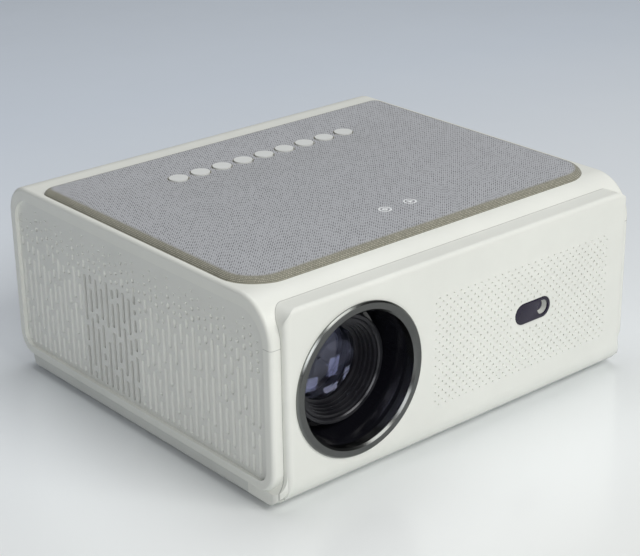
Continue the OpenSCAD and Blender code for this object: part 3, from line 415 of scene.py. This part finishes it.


# Tight plain weave. Uneven yarns leave short dark dashes along its diagonal, and its rolled edge has rows
# of loops that follow the outline, painted darker and warmer there as grazing shade.
def wovenCloth():
    f = Finish("wovenCloth", Sheen_Weight=0.2, Sheen_Roughness=0.5)
    flat = f.node("ShaderNodeUVMap", {"uv_map": "cloth"})
    wander = f.noise(170, 2, 0.5, flat)
    u, v, w = f.axes(flat)

    def random(first, second):
        spot = f.node("ShaderNodeCombineXYZ", {}, {0: first, 1: second})
        return f.node("ShaderNodeTexWhiteNoise", {"noise_dimensions": "2D"}, {"Vector": spot})

    scale = 1.0 / (weave["pitch"] * mm)
    stray = (wander - 0.5) * weave["wander"]
    warp = u * scale + stray
    weft = v * scale + stray
    along = warp.fract() - 0.5
    across = weft.fract() - 0.5
    weftUp = (warp.floor() + weft.floor()) % 2.0 < 0.5
    warpHeight = (1 - along * along * 3.0) * (1 - across * across * 1.2)
    weftHeight = (1 - across * across * 3.0) * (1 - along * along * 1.2)
    height = weftUp * weftHeight + (1 - weftUp) * warpHeight
    pit = f.remap(height, 0.2, 0.75, weave["pit"], 1.0)

    diagonal = math.sqrt(0.5)
    lane = (u - v) * (diagonal / (weave["dashGap"] * mm)) + (wander - 0.5) * 0.35
    laneNumber = lane.floor()
    shift = random(laneNumber, 3.0)
    step = (u + v) * (diagonal / (weave["dashStep"] * mm)) + shift
    chance = random(laneNumber, step.floor())
    fromLane = (lane.fract() - 0.5) / weave["dashWide"]
    fromStep = (step.fract() - 0.5) / weave["dashLong"]
    slit = f.remap(fromLane * fromLane + fromStep * fromStep, 1.4, 0.3)
    fibre = f.noise(2600, 2, 0.6, flat)
    slub = f.noise(420, 3, 0.7, flat)
    patch = f.noise(55, 2, 0.5, flat)
    dashed = 1 - slit * (0.45 + chance * 0.6) * (0.6 + slub * 0.8)
    thread = f.mix(dashed * (0.85 + fibre * 0.3), weave["dark"], weave["light"])

    around, down, flatAxis = f.axes(f.node("ShaderNodeUVMap", {"uv_map": "edge"}))
    row = down / (weave["rowStep"] * mm) + (wander - 0.5) * 0.2
    bar = around / (weave["barStep"] * mm) + row.floor() * 0.5
    fromRow = row.fract() - 0.5
    fromBar = bar.fract() - 0.5
    loop = f.remap(fromRow * fromRow * 1.6 + fromBar * fromBar, 0.26, 0.08)
    wearAndGlint = random(row.floor(), bar.floor())
    # Painted shade: the rolled edge, found from the normal's upward part, gets this darker, warmer mix of
    # loops and olive gaps.
    loopsAndEdgeShade = f.mix(loop * (0.55 + wearAndGlint * 0.45), weave["olive"], weave["pale"])
    level = f.axes(f.node("ShaderNodeNewGeometry", out="Normal"))[2]
    rolled = f.remap(level + (slub - 0.5) * 0.01, weave["flatLevel"], weave["edgeLevel"])
    shaded = f.node(
        "ShaderNodeVectorMath", {"operation": "SCALE"},
        {0: f.mix(rolled, thread, loopsAndEdgeShade), "Scale": pit * (0.92 + fibre * 0.16) * (0.95 + patch * 0.1)},
    )
    f.set(
        Base_Color=shaded,
        Roughness=0.78 + (fibre - 0.5) * 0.2,
        Normal=f.bump(height + (fibre - 0.5) * 0.25, weave["relief"] * mm, 0.6),
    )
    return f.material


# Printed ink on the cloth, broken by the threads below it.
def printedInk():
    f = Finish("printedInk")
    grip = f.noise(1500, 3, 0.7)
    f.set(
        Base_Color=f.mix(f.remap(grip, 0.34, 0.5), (0.62, 0.63, 0.65), (0.88, 0.89, 0.90)),
        Roughness=0.6 + (grip - 0.5) * 0.3,
        Normal=f.bump(grip, 0.05 * mm, 0.5),
    )
    return f.material


finishes = {
    "case_white": mouldedPlastic("caseWhite", shellSeam),
    "panel_white": mouldedPlastic("panelWhite"),
    "base_grey": mouldedPlastic("baseGrey"),
    "dark_plastic": mouldedPlastic("darkPlastic"),
    "fabric_grey": wovenCloth(),
    "key_white": mouldedPlastic("keyWhite"),
    "circuit_green": mouldedPlastic("circuitGreen"),
    "circuit_tan": mouldedPlastic("circuitTan"),
    "bezel_metal": bezelMetal(),
    "gloss_black": glossBlack(),
    "lens_glass": lensGlass(),
    "window_dark": smokedPlate("smokedWindow", (0.010, 0.007, 0.020)),
    "receiver_dark": smokedPlate("receiverDark", (0.03, 0.026, 0.045)),
    "mirror": mirrorSilver(),
    "panel_glass": smokedPlate("panelGlass", (0.05, 0.055, 0.06)),
    "lamp_yellow": mouldedPlastic("lampYellow"),
    "sink_aluminium": workedMetal("sinkAluminium"),
    "steel": workedMetal("steel"),
    "rubber_black": mouldedPlastic("rubberBlack"),
    "insert_brass": workedMetal("insertBrass"),
}
ownFinish = {
    "lens_barrel": barrelBlack("barrelBlack", 0.30),
    "focus_ring": barrelBlack("focusRingBlack", 0.26),
    "front_cover": mouldedPlastic("coverWhite", coverLine),
}


def paintNodes():
    for entry in frame["record"]["subparts"]:
        name = entry["node"]
        node = nodes[name]
        node.data.materials.clear()
        node.data.materials.append(ownFinish.get(name, finishes[entry["material_slot"]]))


paintNodes()
print("finishes on all nodes")


def addPiece(name, mesh, material, body):
    piece = bpy.data.objects.new(name, mesh)
    bpy.context.scene.collection.objects.link(piece)
    mesh.materials.append(material)
    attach(piece, body)
    return piece


def finishMesh(name, bm, smoothAngle=35):
    bmesh.ops.recalc_face_normals(bm, faces=bm.faces)
    for face in bm.faces:
        face.smooth = True
    for edge in bm.edges:
        if len(edge.link_faces) == 2 and edge.calc_face_angle(0) > math.radians(smoothAngle):
            edge.smooth = False
    mesh = bpy.data.meshes.new(name)
    bm.to_mesh(mesh)
    bm.free()
    return mesh


# One row of faces between two closed loops of corners.
def bridge(bm, outer, inner):
    count = len(outer)
    for k in range(count):
        n = (k + 1) % count
        bm.faces.new((outer[k], outer[n], inner[n], inner[k]))


# Edges of a closed loop of corners.
def loopEdges(bm, loop):
    return [bm.edges.get((loop[k - 1], loop[k])) for k in range(len(loop))]


# A full turn in even steps, as cosine and sine.
def turn(steps):
    angles = [2 * math.pi * k / steps for k in range(steps)]
    return [(math.cos(a), math.sin(a)) for a in angles]


grooves = {
    "pocket": 1.1,  # depth of the solid's flat-bottomed slots
    "depth": 1.6,
    "steepest": 1.5,  # most depth for the half width
    "rows": (0.86, 0.7, 0.52, 0.32, 0.12),  # shares of the half width, from the mouth inwards
    "weld": 0.005,
    "near": 0.02,
    "smooth": 30,
}


# Walls and floor of each slot that ends above the panel's back, one list for each slot.
def blindSlots(bm, front, bottom, near):
    def deepest(face):
        return max(v.co.x for v in face.verts)

    inside = dict.fromkeys(f for f in bm.faces if front + near < deepest(f) < bottom + near)
    slots = []
    while inside:
        slot, blind = [inside.popitem()[0]], True
        for face in slot:
            for vert in face.verts:
                for other in vert.link_faces:
                    if other in inside:
                        del inside[other]
                        slot.append(other)
                    elif deepest(other) > bottom + near:
                        blind = False
        if blind:
            slots.append(slot)
    return slots


# Corners round a slot's mouth, in order.
def mouthLoop(slot, limit):
    links = {}
    for face in slot:
        for edge in face.edges:
            if max(v.co.x for v in edge.verts) < limit:
                for vert in edge.verts:
                    links.setdefault(vert, []).append(edge.other_vert(vert))
    loop = [next(iter(links))]
    while len(loop) < len(links):
        loop.append([v for v in links[loop[-1]] if v not in loop[-2:]][0])
    return loop


# The slotted panel again, with its blind slots and dots hollowed out as round-bottomed grooves.
def makeGrille():
    g = grooves
    bm = bmesh.new()
    bm.from_mesh(nodes["left_grille"].data)
    bm.transform(nodes["left_grille"].matrix_world)
    bmesh.ops.remove_doubles(bm, verts=bm.verts, dist=g["weld"] * mm)
    front = min(v.co.x for v in bm.verts)
    slots = blindSlots(bm, front, front + g["pocket"] * mm, g["near"] * mm)
    loops = [mouthLoop(slot, front + g["near"] * mm) for slot in slots]
    bmesh.ops.delete(bm, geom=[f for slot in slots for f in slot], context="FACES")
    for loop in loops:
        ys = [v.co.y for v in loop]
        zs = [v.co.z for v in loop]
        half = (max(ys) - min(ys)) / 2
        middle = (max(ys) + min(ys)) / 2
        axis = [min(max(z, min(zs) + half), max(zs) - half) for z in zs]
        deep = min(g["depth"] * mm, half * g["steepest"])
        outer = loop
        for share in g["rows"]:
            x = front + deep * math.cos(share * math.pi / 2)
            inner = []
            for vert, z in zip(loop, axis):
                y = middle + (vert.co.y - middle) * share
                inner.append(bm.verts.new((x, y, z + (vert.co.z - z) * share)))
            bridge(bm, outer, inner)
            outer = inner
        bm.faces.new(outer)
    panel = addPiece("grille_panel", finishMesh("grille_panel", bm, g["smooth"]),
                     mouldedPlastic("grilleWhite", panelLine), "chassis")
    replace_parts(panel, "left_grille")
    return len(slots)


print("grooves made:", makeGrille())


padLow, padHigh = reach("fabric_pad")
keyLow, keyHigh = reach("key_5")
cloth = {
    "left": padLow[0],
    "right": padHigh[0],
    "front": padLow[1],
    "back": padHigh[1],
    "frontRadius": 20.0,
    "backRadius": 7.0,
    "base": padLow[2],
    "top": padHigh[2],
    "roll": 5.2,  # how far in the edge starts to roll down
    "keyY": (keyLow[1] + keyHigh[1]) / 2,
    "keyPitch": 13.9,
    "keys": 9,
    "holeRadius": 5.25,
    "holeEdge": 0.5,
    "holeDepth": 1.9,  # below its rounded edge
    "cornerSteps": 24,
    "rollSteps": 12,
    "holeSteps": 48,
}


# Points of a rounded rectangle with their outward directions.
def clothOutline():
    c = cloth
    wide, tight = c["frontRadius"], c["backRadius"]
    corners = [
        (c["left"] + wide, c["front"] + wide, wide, 180),
        (c["right"] - wide, c["front"] + wide, wide, 270),
        (c["right"] - tight, c["back"] - tight, tight, 0),
        (c["left"] + tight, c["back"] - tight, tight, 90),
    ]
    points = []
    for x, y, r, start in corners:
        for k in range(c["cornerSteps"] + 1):
            a = math.radians(start + 90 * k / c["cornerSteps"])
            points.append((x + r * math.cos(a), y + r * math.sin(a), math.cos(a), math.sin(a)))
    return points


# Depths, insets and cloth lengths down a rolled edge, from its flat top to an upright tail.
def edgeProfile(inset, drop, steps, tail=0.0):
    rows = [(0.0, inset, 0.0)]
    for k in range(1, steps + 1):
        a = math.radians(90 * k / steps)
        down, left, length = drop * (1 - math.cos(a)), inset * (1 - math.sin(a)), rows[-1][2]
        rows.append((down, left, length + math.hypot(down - rows[-1][0], left - rows[-1][1])))
    if tail:
        rows.append((drop + tail, 0.0, rows[-1][2] + tail))
    return rows


def makeCloth():
    c = cloth
    bm = bmesh.new()
    flat = bm.verts.layers.float_vector.new("flat")
    edgeMap = {}

    # Rolls the cloth over an edge. "flat" holds where each point lies with the cloth spread out,
    # and edgeMap how far round and how far down the edge it is.
    def ring(points, profile, top):
        loops = []
        for down, inset, length in profile:
            row = []
            for x, y, nx, ny in points:
                vert = bm.verts.new(((x - nx * inset) * mm, (y - ny * inset) * mm, (top - down) * mm))
                out = length - profile[0][1]
                vert[flat] = ((x + nx * out) * mm, (y + ny * out) * mm, 0)
                row.append(vert)
            loops.append(row)
        count = len(points)
        walked = [0.0]
        for k in range(count):
            here, there = points[k], points[(k + 1) % count]
            walked.append(walked[-1] + math.hypot(there[0] - here[0], there[1] - here[1]))
        for i, (upper, lower) in enumerate(zip(loops, loops[1:])):
            high, low = profile[i][2] * mm, profile[i + 1][2] * mm
            for k in range(count):
                n = (k + 1) % count
                face = bm.faces.new((upper[k], upper[n], lower[n], lower[k]))
                start, end = walked[k] * mm, walked[k + 1] * mm
                edgeMap[face] = {upper[k]: (start, high), upper[n]: (end, high),
                                 lower[n]: (end, low), lower[k]: (start, low)}
        return loops[0]

    edge = edgeProfile(c["roll"], c["top"] - c["base"], c["rollSteps"])
    edges = loopEdges(bm, ring(clothOutline(), edge, c["top"]))
    holeEdge = edgeProfile(c["holeEdge"], c["holeEdge"], 4, c["holeDepth"])
    r = c["holeRadius"]
    for i in range(c["keys"]):
        x = (i - (c["keys"] - 1) / 2) * c["keyPitch"]
        circle = [(x + r * u, c["keyY"] + r * v, -u, -v) for u, v in turn(c["holeSteps"])]
        edges += loopEdges(bm, ring(circle, holeEdge, c["top"]))
    bmesh.ops.triangle_fill(bm, use_beauty=True, use_dissolve=False, edges=edges)
    bmesh.ops.recalc_face_normals(bm, faces=bm.faces)
    threads = bm.loops.layers.uv.new("cloth")
    rows = bm.loops.layers.uv.new("edge")
    for face in bm.faces:
        places = edgeMap.get(face, {})
        for loop in face.loops:
            loop[threads].uv = loop.vert[flat].xy
            loop[rows].uv = places.get(loop.vert, (0.0, 0.0))
    mesh = finishMesh("cloth_top", bm, 60)
    piece = addPiece("cloth_top", mesh, finishes["fabric_grey"], "chassis")
    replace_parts(piece, "fabric_pad")


makeCloth()
print("cloth top made")


marks = {
    "y": -58.0,
    "discX": -8.5,
    "playX": 7.9,
    "radius": 3.4,
    "discRim": 0.9,
    "playRim": 0.8,
    "hub": (0.4, 1.5),
    "arrow": ((-1.1, -1.8), (2.0, 0), (-1.1, 1.8)),
    "lift": 0.06,
}


# Two small printed signs: a disc and a play arrow.
def makeMarks():
    m = marks
    z = (cloth["top"] + m["lift"]) * mm
    bm = bmesh.new()

    def band(x, inner, outer):
        rows = []
        for r in (inner, outer):
            rows.append([bm.verts.new(((x + r * u) * mm, (m["y"] + r * v) * mm, z)) for u, v in turn(48)])
        bridge(bm, *rows)

    band(m["discX"], m["radius"] - m["discRim"], m["radius"])
    band(m["discX"], *m["hub"])
    band(m["playX"], m["radius"] - m["playRim"], m["radius"])
    bm.faces.new([bm.verts.new(((m["playX"] + u) * mm, (m["y"] + v) * mm, z)) for u, v in m["arrow"]])
    addPiece("printed_marks", finishMesh("printed_marks", bm), printedInk(), "chassis")


makeMarks()
print("marks printed")


window = {
    "x": 44.1,
    "z": 54.2,
    "width": 24.6,
    "height": 10.9,
    "front": -108.2,
    "thick": 2.6,
    "edge": 0.35,
    "eyeX": 51.0,
    "eyeRadius": 3.75,
    "eyeEdge": 0.2,
    "eyeDepth": 0.7,  # below its rounded edge
    "endSteps": 32,
    "eyeSteps": 64,
}


# Pill-shaped smoked plate with a round clear eye near its right end.
def makeWindow():
    w = window
    bm = bmesh.new()
    half = w["width"] / 2 - w["height"] / 2
    r = w["height"] / 2
    outline = []
    for side, start in ((1, -90), (-1, 90)):
        for k in range(w["endSteps"] + 1):
            a = math.radians(start + 180 * k / w["endSteps"])
            outline.append((w["x"] + side * half + r * math.cos(a), w["z"] + r * math.sin(a),
                            math.cos(a), math.sin(a)))
    r = w["eyeRadius"]
    eye = [(w["eyeX"] + r * u, w["z"] + r * v, -u, -v) for u, v in turn(w["eyeSteps"])]

    def ring(points, profile):
        loops = []
        for down, inset, length in profile:
            loops.append([
                bm.verts.new(((x - nx * inset) * mm, (w["front"] + down) * mm, (z - nz * inset) * mm))
                for x, z, nx, nz in points
            ])
        for upper, lower in zip(loops, loops[1:]):
            bridge(bm, upper, lower)
        return loopEdges(bm, loops[0])

    edges = ring(outline, edgeProfile(w["edge"], w["edge"], 4, w["thick"] - w["edge"]))
    edges += ring(eye, edgeProfile(w["eyeEdge"], w["eyeEdge"], 3, w["eyeDepth"]))
    bmesh.ops.triangle_fill(bm, use_beauty=True, use_dissolve=False, edges=edges)
    plate = addPiece("window_plate", finishMesh("window_plate", bm, 50),
                     finishes["window_dark"], "chassis")
    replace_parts(plate, "ir_window")


# Turned surface about the eye's axis, from radius and depth pairs.
def turnedPiece(name, profile, slot):
    bm = bmesh.new()
    rows = []
    for r, y in profile:
        rows.append([
            bm.verts.new(((window["eyeX"] + r * u) * mm, y * mm, (window["z"] + r * v) * mm))
            for u, v in turn(window["eyeSteps"])
        ])
    for outer, inner in zip(rows, rows[1:]):
        bridge(bm, outer, inner)
    return addPiece(name, finishMesh(name, bm, 40), finishes[slot], "chassis")


receiver = {
    "front": window["front"] + 0.9,
    "lip": 0.4,
    "depth": 2.8,
    "bend": 0.2,  # between the cup's wall and its bottom
    "taper": 0.15,
    "domeRadius": window["eyeRadius"] - 0.6,
    "domeHeight": 1.5,
    "domeSteps": 8,
    "pole": 0.001,
}


# Pale cup behind the eye with the receiver's dome at its bottom.
def makeReceiver():
    c = receiver
    mouth = window["eyeRadius"]
    bottom = c["front"] + c["depth"]
    cup = [(mouth + c["lip"], c["front"]), (mouth, c["front"]),
           (mouth - c["taper"], bottom - c["bend"]), (c["domeRadius"], bottom)]
    turnedPiece("receiver_cup", cup, "case_white")
    dome = []
    for k in range(c["domeSteps"] + 1):
        a = math.radians(90 * k / c["domeSteps"])
        dome.append((c["domeRadius"] * math.sin(a) + c["pole"], bottom - c["domeHeight"] * math.cos(a)))
    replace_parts(turnedPiece("receiver_dome", dome, "receiver_dark"), "ir_receiver")


makeWindow()
makeReceiver()
print("receiver window made")


studio = {
    # Painted light falloff: the floor is painted lighter and warmer in front of the object, and bluer far
    # behind it.
    "near": (0.93, 0.935, 0.91),  # floor colour before the object and far behind it
    "far": (0.81, 0.88, 0.98),
    "fade": (-0.35, 0.5),
    "floorSize": 6.0,
    "world": 0.07,
    "worldColour": (0.97, 0.985, 1.0),
}


def makeFloor():
    bm = bmesh.new()
    s = studio["floorSize"] / 2
    bm.faces.new([bm.verts.new((x, y, 0)) for x, y in ((-s, -s), (s, -s), (s, s), (-s, s))])
    mesh = bpy.data.meshes.new("floor")
    bm.to_mesh(mesh)
    bm.free()
    f = Finish("tableGloss", Specular_IOR_Level=0.5)
    x, y, z = f.axes()
    cloud = f.noise(2.0, 2)
    smear = f.noise(14, 4, 0.6)
    # Painted light: the floor's colour fades from the lighter front colour to the bluer far one along y.
    depth = f.remap(x * 0.2 + y + (cloud - 0.5) * 0.1, *studio["fade"])
    f.set(Base_Color=f.mix(depth, studio["near"], studio["far"]), Roughness=0.16 + smear * 0.1)
    floor = bpy.data.objects.new("floor", mesh)
    bpy.context.scene.collection.objects.link(floor)
    mesh.materials.append(f.material)


lamps = [
    {"name": "keyLamp", "place": (0.4, -2.0, 1.9), "size": (1.6, 1.2), "power": 35.5,
     "colour": (1.0, 0.995, 0.96)},
    {"name": "sideLamp", "place": (-1.3, -1.9, 1.0), "size": (0.9, 1.2), "power": 18,
     "colour": (0.98, 0.99, 1.0)},
    {"name": "topLamp", "place": (0.3, 0.3, 2.0), "size": (1.8, 1.2), "power": 19,
     "colour": (0.98, 0.99, 1.0)},
]
lampAim = Vector((0, 0, 0.05))


def makeLights():
    for lamp in lamps:
        data = bpy.data.lights.new(lamp["name"], "AREA")
        data.shape = "RECTANGLE"
        data.size, data.size_y = lamp["size"]
        data.energy = lamp["power"]
        data.color = lamp["colour"]
        light = bpy.data.objects.new(lamp["name"], data)
        bpy.context.scene.collection.objects.link(light)
        light.location = lamp["place"]
        light.rotation_mode = "QUATERNION"
        light.rotation_quaternion = (lampAim - light.location).to_track_quat("-Z", "Y")
    world = bpy.data.worlds.new("studio")
    bpy.context.scene.world = world
    world.use_nodes = True
    back = world.node_tree.nodes["Background"]
    back.inputs["Color"].default_value = (*studio["worldColour"], 1)
    back.inputs["Strength"].default_value = studio["world"]


makeFloor()
makeLights()
bpy.context.scene.view_settings.view_transform = "Standard"
print("floor and lamps set")
